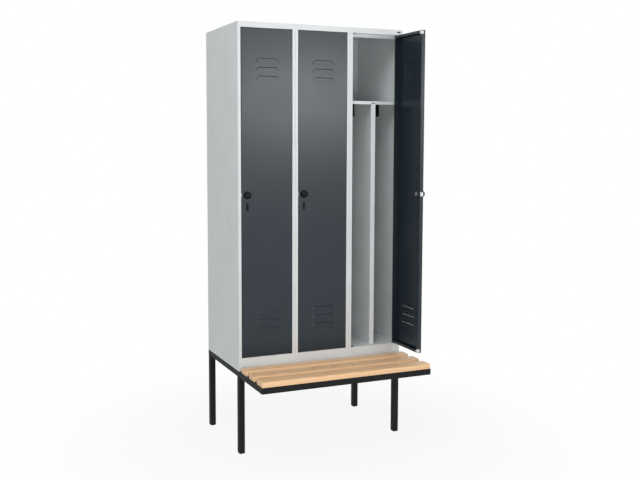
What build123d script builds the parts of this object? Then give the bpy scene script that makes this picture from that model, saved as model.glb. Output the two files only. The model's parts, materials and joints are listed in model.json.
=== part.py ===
from build123d import *
import os
from math import cos, radians, sin

os.makedirs("parts", exist_ok=True)

# Clothes locker with three doors on a tube base, with a slatted bench in front.
# X runs to the right along the front, Y to the back and Z up, in millimetres.
# The origin is on the ground, under the middle of the body and its bench.

# Overall sizes
compartments = 3
compartment_width = 300.0
body_depth = 500.0
body_height = 1700.0
base_height = 420.0
bench_projection = 315.0
sheet = 1.0
overrun = 5.0

# Clearances between pieces
seat_gap = 0.3
running_fit = 0.05
fixed_fit = 0.1

# Front frame of the body
stile_face = 15.0
stile_depth = 25.0
stile_lip = 6.0
top_rail_height = 27.0
plinth_height = 65.0
top_rail_return = 18.0
foot_flange = 24.0
post_seam_depth = 2.0
stop_lip_height = 18.0
stop_strip_width = 10.0
vent_slot_length = 20.0
vent_slot_height = 8.0
vent_slot_inset = 22.0
vent_slot_drop = 13.0

# Hat shelf, divider and garment rails
hat_space = 338.0
shelf_setback = 30.0
shelf_lip = 16.0
shelf_slot_length = 22.0
shelf_slot_height = 5.0
shelf_slot_drop = 10.5
divider_edge_width = 24.0
divider_edge_depth = 12.0
divider_edge_lip = 6.0
divider_tab_inset = 18.0
divider_tab_length = 92.0
divider_tab_height = 11.0
rail_setback = 256.0
rail_drop = 30.0
rail_radius = 5.0
holder_width = 24.0
holder_height = 70.0
holder_corner = 1.5
holder_thickness = 5.0
holder_floor = 2.0

# Sliding double hooks
hook_width = 13.0
hook_eye_radius = 11.0
hook_arm_drop = 24.0
hook_arm_radius = 22.0
hook_arm_thickness = 7.0
hook_stem_width = 8.0

# Doors
door_gap = 3.0
door_thickness = 20.0
door_lip = 13.0
door_bend_radius = 0.8
door_open_angle = 90.0
pivot_inset = 6.0
pivot_depth = 6.0

# Pressed louvres
louvre_count = 3
louvre_pitch = 42.0
louvre_height = 20.0
louvre_top_width = 100.0
louvre_foot_width = 127.0
louvre_depth = 4.0
louvre_bevel = 4.5
louvre_foot_lap = 0.7
louvre_top_inset = 140.0
louvre_bottom_inset = 228.0
louvre_centre_inset = 134.0

# Hinge pins and bushes
pin_radius = 3.0
pin_head_radius = 4.5
pin_head_height = 3.0
pin_reach = 6.0
bush_radius = 4.5
bush_depth = 5.0
bush_collar_length = 18.0
bush_collar_width = 11.0

# Door buffers
buffer_inset = 6.5
buffer_head_radius = 8.5
buffer_head_height = 3.0
buffer_body_radius = 7.4
buffer_body_depth = 11.0
buffer_top_drop = 11.0
buffer_bottom_rise = 10.0

# Lock
lock_inset = 29.0
lock_rise = 800.0
knob_clearance = 0.3
knob_core_radius = 15.5
knob_lobe_radius = 6.0
knob_lobe_ring = 13.0
knob_lobes = 6
knob_side = 6.0
knob_dome = 15.7
knob_dome_radius = 20.0
knob_cap_radius = 8.0
spindle_radius = 4.0
spindle_grip = 10.0
spindle_hole_radius = 8.0
crank_radius = 10.0
crank_proud = 6.5
crank_pin_ring = 7.0
crank_pin_radius = 2.5
crank_pin_length = 5.0
crank_turn = 90.0
slot_play = 0.45
bolt_clearance = 0.3
bolt_height = 20.0
bolt_length = 50.0
bolt_rest_reach = 1.5
bolt_window_height = 9.0
bolt_window_play = 0.5
strike_play = 0.6
lock_plate_width = 52.0
lock_plate_top = 137.0
lock_plate_bottom = 83.0
lock_housing_radius = 20.0
lock_housing_height = 3.5
lock_guide_height = 4.0
lock_guide_foot = 0.1
lock_levers_width = 40.0
lock_levers_top = 26.0
lock_levers_bottom = 81.0
lock_hole_radius = 12.5
lock_hole_rise = 110.0
lock_slot_width = 10.0
lock_slot_length = 40.0
lock_slot_rise = 39.0
keyhole_drop = 60.0
keyhole_width = 7.0
keyhole_height = 16.0
keyhole_depth = 12.0
cover_drop = 43.0
cover_length = 28.0
cover_top_radius = 5.0
cover_bottom_radius = 7.0
cover_thickness = 2.2
cover_stud_radius = 2.0
cover_stud_length = 6.0

# Tube base
tube = 30.0
tube_wall = 2.0
tube_corner = 2.5
foot_height = 12.0
foot_round = 8.0
foot_plug_height = 18.0

# Bench slats
slat_count = 3
slat_width = 72.0
slat_thickness = 25.0
slat_gap = 35.0
slat_back_gap = 29.0
slat_end_gap = 2.0
slat_top_radius = 8.0
slat_bottom_radius = 2.0

# Screws of the base
slat_bolt_radius = 3.0
slat_bolt_bite = 15.0
slat_bolt_head_radius = 6.0
slat_bolt_head_height = 3.5
body_bolt_radius = 4.0
body_bolt_inset = 120.0
body_bolt_end = 2.0
hex_radius = 7.5
hex_height = 6.0

# Places worked out from the sizes above
body_width = compartments * compartment_width
left = -body_width / 2
right = body_width / 2
front = (bench_projection - body_depth) / 2
back = front + body_depth
bench_front = front - bench_projection
body_top = base_height + body_height
sheet_top = body_top - sheet
floor_z = base_height + plinth_height
ceiling_z = body_top - top_rail_height
stop_front = front + door_thickness + buffer_head_height + seat_gap
stop_back = stop_front + sheet
shelf_z = ceiling_z - hat_space
shelf_front = front + shelf_setback
rail_y = front + rail_setback
rail_z = shelf_z - rail_drop
tube_bottom = base_height - tube
door_width = compartment_width - 2 * (stile_face + door_gap)
hinge_edge = pivot_inset
free_edge = pivot_inset - door_width
door_front = -pivot_depth
door_back = door_front + door_thickness
door_bottom = floor_z + door_gap
door_top = ceiling_z - door_gap
pivot_y = front + pivot_depth
lock_x = free_edge + lock_inset
lock_z = door_bottom + lock_rise
lock_plate_back = door_back - sheet
lock_plate_front = lock_plate_back - sheet
bolt_front = door_front + sheet + bolt_clearance
bolt_back = lock_plate_front - bolt_clearance
bolt_tip = free_edge - bolt_rest_reach
crank_front = lock_plate_front
crank_swing = crank_pin_ring * sin(radians(crank_turn / 2))
bolt_throw = 2 * crank_swing
knob_back = door_front - knob_clearance
knob_length = knob_side + knob_dome
cover_z = lock_z - cover_drop


def compartment_left(i):
    """X of the line where compartment i begins."""
    return left + i * compartment_width


def inner_left(i):
    """X of the wall face on the left inside compartment i."""
    return compartment_left(i) + (sheet if i == 0 else sheet / 2)


def inner_right(i):
    """X of the wall face on the right inside compartment i."""
    return compartment_left(i + 1) - (sheet if i == compartments - 1 else sheet / 2)


def middle(i):
    """X of the divider in compartment i."""
    return compartment_left(i) + compartment_width / 2


def bays(i):
    """The two bays beside the divider of compartment i, as pairs of X values."""
    return (
        (inner_left(i), middle(i) - sheet / 2),
        (middle(i) + sheet / 2, inner_right(i)),
    )


def pivot_x(i):
    """X of the hinge axis of door i."""
    return compartment_left(i + 1) - stile_face - door_gap - pivot_inset


def bush_places():
    """Plan places of the bushes: each door's own, and the unused one that mirrors it."""
    places = []
    for i in range(compartments):
        places.append((pivot_x(i), pivot_y))
        places.append((2 * middle(i) - pivot_x(i), pivot_y))
    return places


def facing(y):
    """Upright plane across the locker at y, seen from the front, with Z as its second axis."""
    return Plane.XZ.offset(-y)


def door_frame(i):
    """Ground plane on the hinge axis of door i, with X from its free edge to its hinge edge."""
    turn = radians(door_open_angle if i == compartments - 1 else 0)
    return Plane(origin=(pivot_x(i), pivot_y, 0), x_dir=(cos(turn), sin(turn), 0), z_dir=(0, 0, 1))


def door_face(i, depth):
    """Upright plane along door i, at a depth behind its hinge axis, seen from the front."""
    return Plane(door_frame(i).location * facing(depth).location)


def block(x_from, x_to, y_from, y_to, z_from, z_to, mode=Mode.ADD):
    """Add a straight block, given by its faces, to the piece being built."""
    with Locations(((x_from + x_to) / 2, (y_from + y_to) / 2, (z_from + z_to) / 2)):
        Box(abs(x_to - x_from), abs(y_to - y_from), abs(z_to - z_from), mode=mode)


def area(u_from, u_to, v_from, v_to, mode=Mode.ADD):
    """Add a rectangle, given by its sides, to the sketch being drawn."""
    with Locations(((u_from + u_to) / 2, (v_from + v_to) / 2)):
        Rectangle(abs(u_to - u_from), abs(v_to - v_from), mode=mode)


# Outer sheets of the body
for name, x_from in (("side_panel_left", left), ("side_panel_right", right - sheet)):
    with BuildPart() as side_panel:
        with BuildSketch(Plane.YZ.offset(x_from)):
            area(front, back, base_height, sheet_top)
        extrude(amount=sheet)
    side_panel.part.label = name
    export_step(side_panel.part, f"parts/{name}.step")

body_bolt_xs = (left + body_bolt_inset, right - body_bolt_inset)
front_bolt_y = front + tube / 2
rear_bolt_y = back - tube / 2

with BuildPart() as back_panel:
    with BuildSketch(Plane.YZ.offset(left + sheet)):
        area(back - sheet, back, base_height, sheet_top)
    extrude(amount=body_width - 2 * sheet)
back_panel.part.label = "back_panel"
export_step(back_panel.part, "parts/back_panel.step")

# Angle at the foot of the back panel, which takes the rear bolts of the base
with BuildPart() as rear_foot_angle:
    angle_back = back - sheet
    with BuildSketch(Plane.YZ.offset(left + sheet)):
        area(angle_back - foot_flange, angle_back, base_height, base_height + sheet)
        area(angle_back - sheet, angle_back, base_height, base_height + foot_flange)
    extrude(amount=body_width - 2 * sheet)
    with BuildSketch(Plane.XY.offset(base_height)):
        with Locations(*((x, rear_bolt_y) for x in body_bolt_xs)):
            Circle(body_bolt_radius + seat_gap)
    extrude(amount=sheet, mode=Mode.SUBTRACT)
rear_foot_angle.part.label = "rear_foot_angle"
export_step(rear_foot_angle.part, "parts/rear_foot_angle.step")

with BuildPart() as top_panel:
    with BuildSketch(Plane.XY.offset(sheet_top)):
        area(left, right, front, back)
    extrude(amount=sheet)
top_panel.part.label = "top_panel"
export_step(top_panel.part, "parts/top_panel.step")

with BuildPart() as floor_panel:
    with BuildSketch(Plane.XY.offset(floor_z - sheet)):
        area(left + sheet, right - sheet, stop_back, back - sheet)
    extrude(amount=sheet)
floor_panel.part.label = "floor_panel"
export_step(floor_panel.part, "parts/floor_panel.step")

# Top rail: its lower flange carries the upper hinge bushes
with BuildPart() as top_rail:
    with BuildSketch(Plane.YZ.offset(left + sheet)):
        area(front, front + sheet, ceiling_z, sheet_top)
        area(front, stop_back, ceiling_z, ceiling_z + sheet)
        area(front, front + top_rail_return, sheet_top - sheet, sheet_top)
    extrude(amount=body_width - 2 * sheet)
    with BuildSketch(facing(front)):
        with Locations((right - vent_slot_inset, body_top - vent_slot_drop)):
            SlotOverall(vent_slot_length, vent_slot_height)
    extrude(amount=-sheet, mode=Mode.SUBTRACT)
    with BuildSketch(Plane.XY.offset(ceiling_z)):
        with Locations(*bush_places()):
            Circle(bush_radius + fixed_fit)
    extrude(amount=sheet, mode=Mode.SUBTRACT)
top_rail.part.label = "top_rail"
export_step(top_rail.part, "parts/top_rail.step")

# Bottom rail: its upper flange carries the lower hinge bushes, its lower one takes the bolts
with BuildPart() as bottom_rail:
    with BuildSketch(Plane.YZ.offset(left + sheet)):
        area(front, front + sheet, base_height, floor_z)
        area(front, stop_back, floor_z - sheet, floor_z)
        area(front, front + sheet + foot_flange, base_height, base_height + sheet)
    extrude(amount=body_width - 2 * sheet)
    with BuildSketch(Plane.XY.offset(floor_z - sheet)):
        with Locations(*bush_places()):
            Circle(bush_radius + fixed_fit)
    extrude(amount=sheet, mode=Mode.SUBTRACT)
    with BuildSketch(Plane.XY.offset(base_height)):
        with Locations(*((x, front_bolt_y) for x in body_bolt_xs)):
            Circle(body_bolt_radius + seat_gap)
    extrude(amount=sheet, mode=Mode.SUBTRACT)
bottom_rail.part.label = "bottom_rail"
export_step(bottom_rail.part, "parts/bottom_rail.step")


def draw_stile(x_wall, x_edge):
    """Draw the folded section of one stile, from its wall to the edge beside the door."""
    inward = 1 if x_edge > x_wall else -1
    stile_back = front + stile_depth
    area(x_wall, x_edge, front, stile_back)
    area(x_wall + inward * sheet, x_edge - inward * sheet, front + sheet, stile_back - sheet, Mode.SUBTRACT)
    area(x_wall + inward * sheet, x_edge - inward * stile_lip, stile_back - sheet, stile_back, Mode.SUBTRACT)


# Uprights of the front frame: a stile on each side, and two stiles back to back between doors
for i in range(compartments + 1):
    with BuildPart() as upright:
        with BuildSketch(Plane.XY.offset(floor_z)):
            if i > 0:
                draw_stile(inner_right(i - 1), compartment_left(i) - stile_face)
            if i < compartments:
                draw_stile(inner_left(i), compartment_left(i) + stile_face)
        extrude(amount=ceiling_z - floor_z)
        if i < compartments:
            block(
                compartment_left(i) + stile_face - sheet,
                compartment_left(i) + stile_face,
                front + sheet,
                pivot_y + bolt_back + strike_play,
                lock_z - bolt_height / 2 - strike_play,
                lock_z + bolt_height / 2 + strike_play,
                Mode.SUBTRACT,
            )
    if i == 0:
        name = "corner_stile_left"
    elif i == compartments:
        name = "corner_stile_right"
    else:
        name = f"centre_post_{i}"
    upright.part.label = name
    export_step(upright.part, f"parts/{name}.step")

# Stops behind the doors: a lip under the top rail and a strip on the lock side
with BuildPart() as door_stops:
    for i in range(compartments):
        stop_left = compartment_left(i) + stile_face
        stop_right = compartment_left(i + 1) - stile_face
        block(stop_left, stop_right, stop_front, stop_back, ceiling_z - stop_lip_height, ceiling_z)
        strip_top = ceiling_z - stop_lip_height - seat_gap
        block(stop_left, stop_left + stop_strip_width, stop_front, stop_back, floor_z, strip_top)
door_stops.part.label = "door_stops"
export_step(door_stops.part, "parts/door_stops.step")

# Walls between the compartments, notched at the top for the rail
with BuildPart() as partition_walls:
    for i in range(1, compartments):
        with BuildSketch(Plane.YZ.offset(compartment_left(i) - sheet / 2)):
            with BuildLine():
                Polyline(
                    (front + post_seam_depth, floor_z),
                    (back - sheet, floor_z),
                    (back - sheet, sheet_top),
                    (front + stile_depth, sheet_top),
                    (front + stile_depth, ceiling_z),
                    (front + post_seam_depth, ceiling_z),
                    close=True,
                )
            make_face()
        extrude(amount=sheet)
partition_walls.part.label = "partition_walls"
export_step(partition_walls.part, "parts/partition_walls.step")

# Hat shelves, each with a lip bent down along its front and a small slot over the divider
with BuildPart() as hat_shelves:
    for i in range(compartments):
        with BuildSketch(Plane.YZ.offset(inner_left(i))):
            area(shelf_front, back - sheet, shelf_z - sheet, shelf_z)
            area(shelf_front, shelf_front + sheet, shelf_z - shelf_lip, shelf_z)
        extrude(amount=inner_right(i) - inner_left(i))
        with BuildSketch(facing(shelf_front)):
            with Locations((middle(i), shelf_z - shelf_slot_drop)):
                SlotOverall(shelf_slot_length, shelf_slot_height)
        extrude(amount=-sheet, mode=Mode.SUBTRACT)
hat_shelves.part.label = "hat_shelves"
export_step(hat_shelves.part, "parts/hat_shelves.step")

# Dividers between the clean and the dirty clothes, with a tab near the top
with BuildPart() as dividers:
    for i in range(compartments):
        with BuildSketch(Plane.YZ.offset(middle(i) - sheet / 2)):
            area(shelf_front + sheet, back - sheet, floor_z, shelf_z - sheet)
        extrude(amount=sheet)
        tab_front = shelf_front + divider_tab_inset
        tab_top = shelf_z - shelf_lip
        with BuildSketch(Plane.YZ.offset(middle(i) - sheet / 2 - sheet)):
            area(tab_front, tab_front + divider_tab_length, tab_top - divider_tab_height, tab_top)
        extrude(amount=sheet)
dividers.part.label = "dividers"
export_step(dividers.part, "parts/dividers.step")

# Folded front edges of the dividers
with BuildPart() as divider_edges:
    for i in range(compartments):
        edge_left = middle(i) - divider_edge_width / 2
        edge_right = middle(i) + divider_edge_width / 2
        edge_back = shelf_front + divider_edge_depth
        with BuildSketch(Plane.XY.offset(floor_z)):
            area(edge_left, edge_right, shelf_front, edge_back)
            area(edge_left + sheet, edge_right - sheet, shelf_front + sheet, edge_back - sheet, Mode.SUBTRACT)
            area(
                edge_left + divider_edge_lip,
                edge_right - divider_edge_lip,
                edge_back - sheet,
                edge_back,
                Mode.SUBTRACT,
            )
        extrude(amount=shelf_z - shelf_lip - floor_z)
divider_edges.part.label = "divider_edges"
export_step(divider_edges.part, "parts/divider_edges.step")

# Garment rails, one in each bay, in the holders on the walls and dividers
with BuildPart() as garment_rails:
    for i in range(compartments):
        for bay_left, bay_right in bays(i):
            with BuildSketch(Plane.YZ.offset(bay_left + holder_floor)):
                with Locations((rail_y, rail_z)):
                    Circle(rail_radius)
            extrude(amount=bay_right - bay_left - 2 * holder_floor)
garment_rails.part.label = "garment_rails"
export_step(garment_rails.part, "parts/garment_rails.step")

# Holders of the rails: upright strips on the walls and dividers, close under the shelf
holder_top = shelf_z - sheet - seat_gap
with BuildPart() as rail_holders:
    for i in range(compartments):
        for bay_left, bay_right in bays(i):
            for x_wall, inward in ((bay_left, 1), (bay_right, -1)):
                with BuildSketch(Plane.YZ.offset(x_wall)):
                    with Locations((rail_y, holder_top - holder_height / 2)):
                        RectangleRounded(holder_width, holder_height, holder_corner)
                extrude(amount=inward * holder_thickness)
                with BuildSketch(Plane.YZ.offset(x_wall + inward * holder_floor)):
                    with Locations((rail_y, rail_z)):
                        Circle(rail_radius + fixed_fit)
                extrude(amount=inward * holder_thickness, mode=Mode.SUBTRACT)
rail_holders.part.label = "rail_holders"
export_step(rail_holders.part, "parts/rail_holders.step")


# Double hooks that slide along the garment rails, and rest at the left end of each
for i in range(compartments):
    for bay, (bay_left, bay_right) in enumerate(bays(i)):
        hook_x = bay_left + holder_thickness + seat_gap + hook_width / 2
        arm_z = rail_z - hook_arm_drop
        with BuildPart() as coat_hook:
            with BuildSketch(Plane.YZ.offset(hook_x)):
                with Locations((rail_y, arm_z)):
                    Circle(hook_arm_radius)
                    Circle(hook_arm_radius - hook_arm_thickness, mode=Mode.SUBTRACT)
                area(
                    rail_y - hook_arm_radius,
                    rail_y + hook_arm_radius,
                    arm_z,
                    arm_z + hook_arm_radius,
                    Mode.SUBTRACT,
                )
                tip_y = hook_arm_radius - hook_arm_thickness / 2
                with Locations((rail_y - tip_y, arm_z), (rail_y + tip_y, arm_z)):
                    Circle(hook_arm_thickness / 2)
                stem_foot = arm_z - hook_arm_radius + hook_arm_thickness / 2
                area(rail_y - hook_stem_width / 2, rail_y + hook_stem_width / 2, stem_foot, rail_z)
                with Locations((rail_y, rail_z)):
                    Circle(hook_eye_radius)
                    Circle(rail_radius + seat_gap, mode=Mode.SUBTRACT)
            extrude(amount=hook_width / 2, both=True)
        side = ("left", "right")[bay]
        coat_hook.part.label = f"coat_hook_{side}_{i + 1}"
        export_step(coat_hook.part, f"parts/coat_hook_{side}_{i + 1}.step")

# Hinge bushes in the rails, with long collars that fill the gap above and below the doors
with BuildPart() as hinge_bushes:
    for rail_face, outward in ((ceiling_z, 1), (floor_z, -1)):
        with BuildSketch(Plane.XY.offset(rail_face)):
            with Locations(*bush_places()):
                SlotOverall(bush_collar_length, bush_collar_width)
        extrude(amount=-outward * (door_gap - seat_gap))
        with BuildSketch(Plane.XY.offset(rail_face)):
            with Locations(*bush_places()):
                Circle(bush_radius)
        extrude(amount=outward * bush_depth)
        with BuildSketch(Plane.XY.offset(rail_face - outward * door_gap)):
            with Locations(*bush_places()):
                Circle(pin_radius + running_fit)
        extrude(amount=outward * (door_gap + bush_depth + overrun), mode=Mode.SUBTRACT)
hinge_bushes.part.label = "hinge_bushes"
export_step(hinge_bushes.part, "parts/hinge_bushes.step")

# Height of the upper edge of each louvre, three near the top of a door and three near its foot
louvre_tops = []
for k in range(louvre_count):
    louvre_tops.append(door_top - louvre_top_inset - k * louvre_pitch)
    louvre_tops.append(door_bottom + louvre_bottom_inset - k * louvre_pitch)


def louvre_hood(i, top, setback, mode):
    """Add or cut the hood of one louvre: proud of the door, bevelled at its top and ends, open below."""
    sections = []
    centre = free_edge + louvre_centre_inset
    for depth, inset in ((door_front + sheet, 0), (door_front - louvre_depth, louvre_bevel)):
        foot_reach = louvre_foot_width / 2 - inset
        top_reach = louvre_top_width / 2 - inset
        with BuildSketch(door_face(i, depth + setback)) as section:
            with BuildLine():
                Polyline(
                    (centre - foot_reach, top - louvre_height),
                    (centre + foot_reach, top - louvre_height),
                    (centre + top_reach, top - inset),
                    (centre - top_reach, top - inset),
                    close=True,
                )
            make_face()
        sections.append(section.sketch)
    loft(sections=sections, ruled=True, mode=mode)


def draw_buffer(z, radius):
    """Draw the outline of a buffer: straight at the door's free edge and round on the other side."""
    area(free_edge, free_edge + buffer_inset, z - radius, z + radius)
    with Locations((free_edge + buffer_inset, z)):
        Circle(radius)
    area(free_edge - radius, free_edge, z - radius, z + radius, Mode.SUBTRACT)


buffer_heights = (door_bottom + buffer_bottom_rise, door_top - buffer_top_drop)

for i in range(compartments):
    number = i + 1
    frame = door_frame(i)

    # Door: a folded pan with lips around its open inner side
    with BuildPart(frame) as door_panel:
        block(free_edge, hinge_edge, door_front, door_back, door_bottom, door_top)
        front_face = door_panel.faces().sort_by(Axis(frame.origin, frame.y_dir))[0]
        fillet(front_face.edges(), radius=door_bend_radius)
        block(
            free_edge + sheet,
            hinge_edge - sheet,
            door_front + sheet,
            door_back - sheet,
            door_bottom + sheet,
            door_top - sheet,
            Mode.SUBTRACT,
        )
        block(
            free_edge + door_lip,
            hinge_edge - door_lip,
            door_back - sheet,
            door_back,
            door_bottom + door_lip,
            door_top - door_lip,
            Mode.SUBTRACT,
        )
        centre = free_edge + louvre_centre_inset
        foot_reach = louvre_foot_width / 2
        for top in louvre_tops:
            louvre_hood(i, top, 0, Mode.ADD)
            louvre_hood(i, top, sheet, Mode.SUBTRACT)
            # The sheet behind a hood stands up a little over the hood's open foot
            foot = top - louvre_height
            block(
                centre - foot_reach,
                centre + foot_reach,
                door_front,
                door_front + sheet,
                foot,
                foot + louvre_foot_lap,
            )
        with BuildSketch(door_face(i, door_front)):
            with Locations((lock_x, lock_z)):
                Circle(spindle_hole_radius)
            with Locations((lock_x, lock_z - keyhole_drop)):
                SlotOverall(keyhole_height, keyhole_width, rotation=90)
            with Locations((lock_x, cover_z)):
                Circle(cover_stud_radius + running_fit)
        extrude(amount=-sheet, mode=Mode.SUBTRACT)
        block(
            free_edge,
            free_edge + sheet,
            door_front + sheet,
            lock_plate_front,
            lock_z - bolt_height / 2 - bolt_clearance,
            lock_z + bolt_height / 2 + bolt_clearance,
            Mode.SUBTRACT,
        )
        with BuildSketch(door_face(i, lock_plate_back)):
            with Locations((lock_x, lock_z)):
                Circle(lock_housing_radius + fixed_fit)
        extrude(amount=-sheet, mode=Mode.SUBTRACT)
        for level in (door_bottom, door_top - sheet):
            with BuildSketch(frame.offset(level)):
                Circle(pin_radius + fixed_fit)
            extrude(amount=sheet, mode=Mode.SUBTRACT)
        for z in buffer_heights:
            with BuildSketch(door_face(i, door_back)):
                draw_buffer(z, buffer_body_radius + fixed_fit)
            extrude(amount=buffer_body_depth + fixed_fit, mode=Mode.SUBTRACT)
    door_panel.part.label = f"door_panel_{number}"
    export_step(door_panel.part, f"parts/door_panel_{number}.step")

    # Hinge pins, headed inside the door and turning in the bushes of the rails
    with BuildPart() as hinge_pins:
        for inner_face, outward in ((door_top - sheet, 1), (door_bottom + sheet, -1)):
            with BuildSketch(frame.offset(inner_face)):
                Circle(pin_head_radius)
            extrude(amount=-outward * pin_head_height)
            with BuildSketch(frame.offset(inner_face)):
                Circle(pin_radius)
            extrude(amount=outward * (sheet + door_gap + pin_reach))
    hinge_pins.part.label = f"hinge_pins_{number}"
    export_step(hinge_pins.part, f"parts/hinge_pins_{number}.step")

    # Buffers in the lock-side corners, with a body in the lip and a head that meets the stop
    with BuildPart() as door_buffers:
        for z in buffer_heights:
            with BuildSketch(door_face(i, door_back)):
                draw_buffer(z, buffer_head_radius)
            extrude(amount=-buffer_head_height)
            with BuildSketch(door_face(i, door_back)):
                draw_buffer(z, buffer_body_radius)
            extrude(amount=buffer_body_depth)
    door_buffers.part.label = f"door_buffers_{number}"
    export_step(door_buffers.part, f"parts/door_buffers_{number}.step")

    # Lock case: a plate behind the lip, a round housing for the crank, bolt guides and lever block
    with BuildPart(frame) as lock_case:
        block(
            free_edge + sheet,
            free_edge + sheet + lock_plate_width,
            lock_plate_front,
            lock_plate_back,
            lock_z - lock_plate_bottom,
            lock_z + lock_plate_top,
        )
        for outward in (1, -1):
            guide_face = bolt_height / 2 + bolt_clearance
            block(
                free_edge + sheet,
                free_edge + sheet + lock_plate_width,
                door_front + sheet + lock_guide_foot,
                lock_plate_front,
                lock_z + outward * guide_face,
                lock_z + outward * (guide_face + lock_guide_height),
            )
        block(
            lock_x - lock_levers_width / 2,
            lock_x + lock_levers_width / 2,
            door_front + sheet + lock_guide_foot,
            lock_plate_front,
            lock_z - lock_levers_bottom,
            lock_z - lock_levers_top,
        )
        with BuildSketch(door_face(i, lock_plate_back)):
            with Locations((lock_x, lock_z)):
                Circle(lock_housing_radius)
        extrude(amount=-lock_housing_height)
        with BuildSketch(door_face(i, lock_plate_front)):
            with Locations((lock_x, lock_z)):
                Circle(crank_radius + running_fit)
        extrude(amount=-sheet - lock_housing_height, mode=Mode.SUBTRACT)
        with BuildSketch(door_face(i, lock_plate_front)):
            with Locations((lock_x, lock_z + lock_hole_rise)):
                Circle(lock_hole_radius)
            with Locations((lock_x, lock_z + lock_slot_rise)):
                SlotOverall(lock_slot_length, lock_slot_width, rotation=90)
        extrude(amount=-sheet, mode=Mode.SUBTRACT)
        with BuildSketch(door_face(i, door_front + sheet)):
            with Locations((lock_x, lock_z - keyhole_drop)):
                SlotOverall(keyhole_height, keyhole_width, rotation=90)
            with Locations((lock_x, cover_z)):
                Circle(cover_stud_radius + seat_gap)
        extrude(amount=-keyhole_depth, mode=Mode.SUBTRACT)
    lock_case.part.label = f"lock_case_{number}"
    export_step(lock_case.part, f"parts/lock_case_{number}.step")

    # Knob: six lobes under a dome, on the end of the spindle
    with BuildPart() as knob:
        with BuildSketch(door_face(i, knob_back)):
            with Locations((lock_x, lock_z)):
                Circle(knob_core_radius)
                with PolarLocations(knob_lobe_ring, knob_lobes, start_angle=90):
                    Circle(knob_lobe_radius)
        extrude(amount=knob_length)
        axis_plane = Plane(frame.location * Plane(origin=(lock_x, 0, lock_z)).location)
        with BuildSketch(axis_plane):
            with BuildLine():
                Polyline(
                    (knob_cap_radius, knob_back - knob_length),
                    (0, knob_back - knob_length),
                    (0, knob_back),
                    (knob_dome_radius, knob_back),
                    (knob_dome_radius, knob_back - knob_side),
                )
                EllipticalCenterArc(
                    (knob_cap_radius, knob_back - knob_side),
                    knob_dome_radius - knob_cap_radius,
                    knob_dome,
                    start_angle=270,
                    arc_size=90,
                )
            make_face()
        revolve(axis=Axis(axis_plane.origin, axis_plane.y_dir), mode=Mode.INTERSECT)
        with BuildSketch(door_face(i, knob_back)):
            with Locations((lock_x, lock_z)):
                Circle(spindle_radius + fixed_fit)
        extrude(amount=spindle_grip, mode=Mode.SUBTRACT)
    knob.part.label = f"knob_{number}"
    export_step(knob.part, f"parts/knob_{number}.step")

    # Spindle with the crank disc that shows inside the door and the pin that drives the bolt
    with BuildPart() as lock_spindle:
        with BuildSketch(door_face(i, crank_front)):
            with Locations((lock_x, lock_z)):
                Circle(spindle_radius)
        extrude(amount=crank_front - knob_back + spindle_grip)
        with BuildSketch(door_face(i, crank_front)):
            with Locations((lock_x, lock_z)):
                Circle(crank_radius)
        extrude(amount=-(door_back + crank_proud - crank_front))
        with BuildSketch(door_face(i, crank_front)):
            with Locations((lock_x + crank_swing, lock_z + crank_swing)):
                Circle(crank_pin_radius)
        extrude(amount=crank_pin_length)
    lock_spindle.part.label = f"lock_spindle_{number}"
    export_step(lock_spindle.part, f"parts/lock_spindle_{number}.step")

    # Bolt, drawn back at rest, with a window for the spindle and a notch for the crank pin
    with BuildPart(frame) as lock_bolt:
        block(
            bolt_tip,
            bolt_tip + bolt_length,
            bolt_front,
            bolt_back,
            lock_z - bolt_height / 2,
            lock_z + bolt_height / 2,
        )
        window_reach = spindle_radius + bolt_window_play
        block(
            lock_x - window_reach,
            lock_x + bolt_throw + window_reach,
            bolt_front,
            bolt_back,
            lock_z - bolt_window_height / 2,
            lock_z + bolt_window_height / 2,
            Mode.SUBTRACT,
        )
        notch_reach = crank_pin_radius + slot_play
        block(
            lock_x + crank_swing - notch_reach,
            lock_x + crank_swing + notch_reach,
            crank_front - crank_pin_length - bolt_clearance,
            bolt_back,
            lock_z,
            lock_z + bolt_height / 2,
            Mode.SUBTRACT,
        )
    lock_bolt.part.label = f"lock_bolt_{number}"
    export_step(lock_bolt.part, f"parts/lock_bolt_{number}.step")

    # Swinging keyhole cover, narrow at its stud and wide at the bottom
    with BuildPart() as keyhole_cover:
        with BuildSketch(door_face(i, door_front - seat_gap)):
            with Locations((lock_x, cover_z)):
                Circle(cover_top_radius)
            with Locations((lock_x, cover_z - cover_length)):
                Circle(cover_bottom_radius)
            make_hull()
        extrude(amount=cover_thickness)
        with BuildSketch(door_face(i, door_front - seat_gap)):
            with Locations((lock_x, cover_z)):
                Circle(cover_stud_radius)
        extrude(amount=-cover_stud_length)
    keyhole_cover.part.label = f"keyhole_cover_{number}"
    export_step(keyhole_cover.part, f"parts/keyhole_cover_{number}.step")


slat_centres = []
for k in range(slat_count):
    slat_centres.append(front - slat_back_gap - slat_width / 2 - k * (slat_width + slat_gap))

slat_bolt_places = []
for x in (left + tube / 2, right - tube / 2):
    for y in slat_centres:
        slat_bolt_places.append((x, y))

body_bolt_places = []
for x in body_bolt_xs:
    for y in (front_bolt_y, rear_bolt_y):
        body_bolt_places.append((x, y))

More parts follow.
